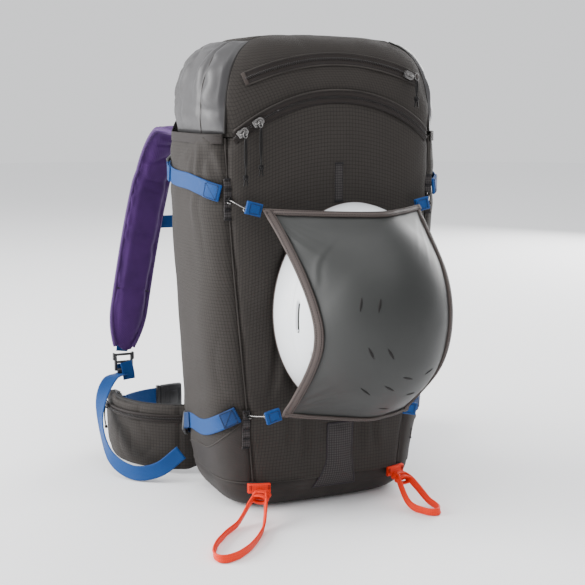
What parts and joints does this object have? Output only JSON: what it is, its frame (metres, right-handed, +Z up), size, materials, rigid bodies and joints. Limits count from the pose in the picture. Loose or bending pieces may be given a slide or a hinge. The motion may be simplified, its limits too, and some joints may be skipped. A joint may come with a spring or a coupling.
{
  "type": "ski backpack",
  "caption": "Clamshell ski backpack with a fabric helmet carrier, padded harness, wrap-round hip belt and tool loops.",
  "frame": {"origin": "middle of the flat base, on the plane the pack stands on", "axes": "+X across the pack, to the right seen from its front; +Y towards the wearer's back; +Z up"},
  "size_m": [0.499, 0.6364, 0.6399],
  "materials": {
    "bag_fabric": "taupe-grey ripstop with a fine dark grid",
    "base_fabric": "darker taupe ripstop",
    "gusset_fabric": "smooth satin grey",
    "zip_tape": "dark brown coated tape",
    "trim_fabric": "dark diamond-grid fabric",
    "carrier_fabric": "fine ribbed stretch fabric, satin",
    "strap_fabric": "purple padded fabric",
    "webbing": "bright blue woven webbing",
    "loop_cord": "orange-red flat cord",
    "pad_fabric": "dark spacer fabric over foam",
    "pull_cord": "thin black cord",
    "buckle": "matte moulded plastic",
    "sheet_plastic": "smooth sheet plastic",
    "helmet_plastic": "satin white",
    "liner_foam": "dark foam",
    "slider_metal": "polished metal",
    "stay_metal": "satin bar"
  },
  "bodies": {
    "pack": {"base_boot": "base_fabric", "front_panel": "bag_fabric", "side_panel_left": "bag_fabric", "side_panel_right": "bag_fabric", "back_panel": "bag_fabric", "frame_sheet": "sheet_plastic", "frame_stays": "stay_metal", "back_pad": "pad_fabric", "lumbar_pad": "pad_fabric", "hydration_sleeve": "pad_fabric", "main_zip_tape": "zip_tape", "axe_shaft_sleeve": "trim_fabric", "pick_pocket": "trim_fabric", "hook_daisies": "trim_fabric", "compression_strap_upper_left": "webbing", "compression_strap_upper_right": "webbing", "compression_strap_lower_left": "webbing", "compression_strap_lower_right": "webbing", "compression_buckles": "buckle", "axe_loop_keepers": "loop_cord", "harness_anchor_left": "webbing", "harness_anchor_right": "webbing", "helmet_shell": "helmet_plastic", "helmet_liner": "liner_foam", "carrier_lower_hooks": "buckle", "haul_loop": "webbing"},
    "lid": {"lid_shell": "bag_fabric", "lid_gusset_left": "gusset_fabric", "lid_gusset_right": "gusset_fabric", "lid_zip_tape": "zip_tape"},
    "main_slider_a": {"main_zip_slider_a": "slider_metal"},
    "main_slider_b": {"main_zip_slider_b": "slider_metal"},
    "lid_slider": {"lid_zip_slider": "slider_metal"},
    "pull_a": {"main_zip_pull_a": "pull_cord"},
    "pull_b": {"main_zip_pull_b": "pull_cord"},
    "pull_lid": {"lid_zip_pull": "pull_cord"},
    "harness": {"shoulder_strap_left": "strap_fabric", "shoulder_strap_right": "strap_fabric", "strap_adjusters": "buckle"},
    "sternum": {"sternum_strap": "webbing", "sternum_buckle": "buckle"},
    "wing_left": {"hip_wing_left": "bag_fabric", "hip_webbing_left": "webbing", "hip_buckle_female": "buckle"},
    "wing_right": {"hip_wing_right": "bag_fabric", "hip_webbing_right": "webbing", "hip_buckle_male": "buckle"},
    "carrier": {"carrier_panel": "carrier_fabric", "carrier_corner_tabs": "webbing", "carrier_upper_hooks": "buckle"},
    "loop_left": {"axe_loop_left": "loop_cord"},
    "loop_right": {"axe_loop_right": "loop_cord"}
  },
  "joints": [
    {"name": "lid_hinge", "type": "hinge", "parent": "pack", "child": "lid", "pos_m": [0, 0.103, 0.5406], "axis": [-1, 0, 0], "range_deg": [0, 75]},
    {"name": "main_slider_a_run", "type": "hinge", "parent": "pack", "child": "main_slider_a", "pos_m": [0, -0.07908, 0.35602], "axis": [0, 0.9848, 0.1736], "range_deg": [0, 63]},
    {"name": "main_slider_b_run", "type": "hinge", "parent": "pack", "child": "main_slider_b", "pos_m": [0, -0.05027, 0.36811], "axis": [0, 0.9397, 0.342], "range_deg": [0, 22.1]},
    {"name": "lid_slider_run", "type": "hinge", "parent": "lid", "child": "lid_slider", "pos_m": [0, -0.06114, 0.31241], "axis": [0, -0.9877, -0.1564], "range_deg": [0, 37]},
    {"name": "pull_a_hang", "type": "hinge", "parent": "main_slider_a", "child": "pull_a", "pos_m": [-0.11144, -0.11712, 0.52651], "axis": [0, 0.9848, 0.1736], "range_deg": [-63, 0]},
    {"name": "pull_b_hang", "type": "hinge", "parent": "main_slider_b", "child": "pull_b", "pos_m": [-0.13044, -0.11223, 0.51338], "axis": [0, 0.9397, 0.342], "range_deg": [-22.1, 0]},
    {"name": "pull_lid_hang", "type": "hinge", "parent": "lid_slider", "child": "pull_lid", "pos_m": [0.10684, -0.12654, 0.58655], "axis": [0, -0.9877, -0.1564], "range_deg": [-37, 0]},
    {"name": "harness_lift", "type": "hinge", "parent": "pack", "child": "harness", "pos_m": [0, 0.1225, 0.486], "axis": [1, 0, 0], "range_deg": [0, 7]},
    {"name": "sternum_height", "type": "slide", "parent": "harness", "child": "sternum", "axis": [0, 0, 1], "range_m": [-0.025, 0.025]},
    {"name": "wing_left_fold", "type": "hinge", "parent": "pack", "child": "wing_left", "pos_m": [-0.104, 0.115, 0.06], "axis": [0, 0, -1], "range_deg": [0, 18]},
    {"name": "wing_right_fold", "type": "hinge", "parent": "pack", "child": "wing_right", "pos_m": [0.104, 0.115, 0.06], "axis": [0, 0, 1], "range_deg": [0, 18]},
    {"name": "carrier_open", "type": "hinge", "parent": "pack", "child": "carrier", "pos_m": [0, -0.115, 0.133], "axis": [1, 0, 0], "range_deg": [0, 35]},
    {"name": "loop_left_lift", "type": "hinge", "parent": "pack", "child": "loop_left", "pos_m": [-0.104, -0.09806, 0.032], "axis": [-0.7828, 0.6222, 0], "range_deg": [0, 68]},
    {"name": "loop_right_lift", "type": "hinge", "parent": "pack", "child": "loop_right", "pos_m": [0.104, -0.09806, 0.032], "axis": [-0.995, -0.0995, 0], "range_deg": [0, 68]}
  ],
  "couplings": [
    {"joint": "main_slider_b_run", "follows": "main_slider_a_run", "ratio": 0.35},
    {"joint": "pull_a_hang", "follows": "main_slider_a_run", "ratio": -1},
    {"joint": "pull_b_hang", "follows": "main_slider_a_run", "ratio": -0.35},
    {"joint": "pull_lid_hang", "follows": "lid_slider_run", "ratio": -1}
  ]
}
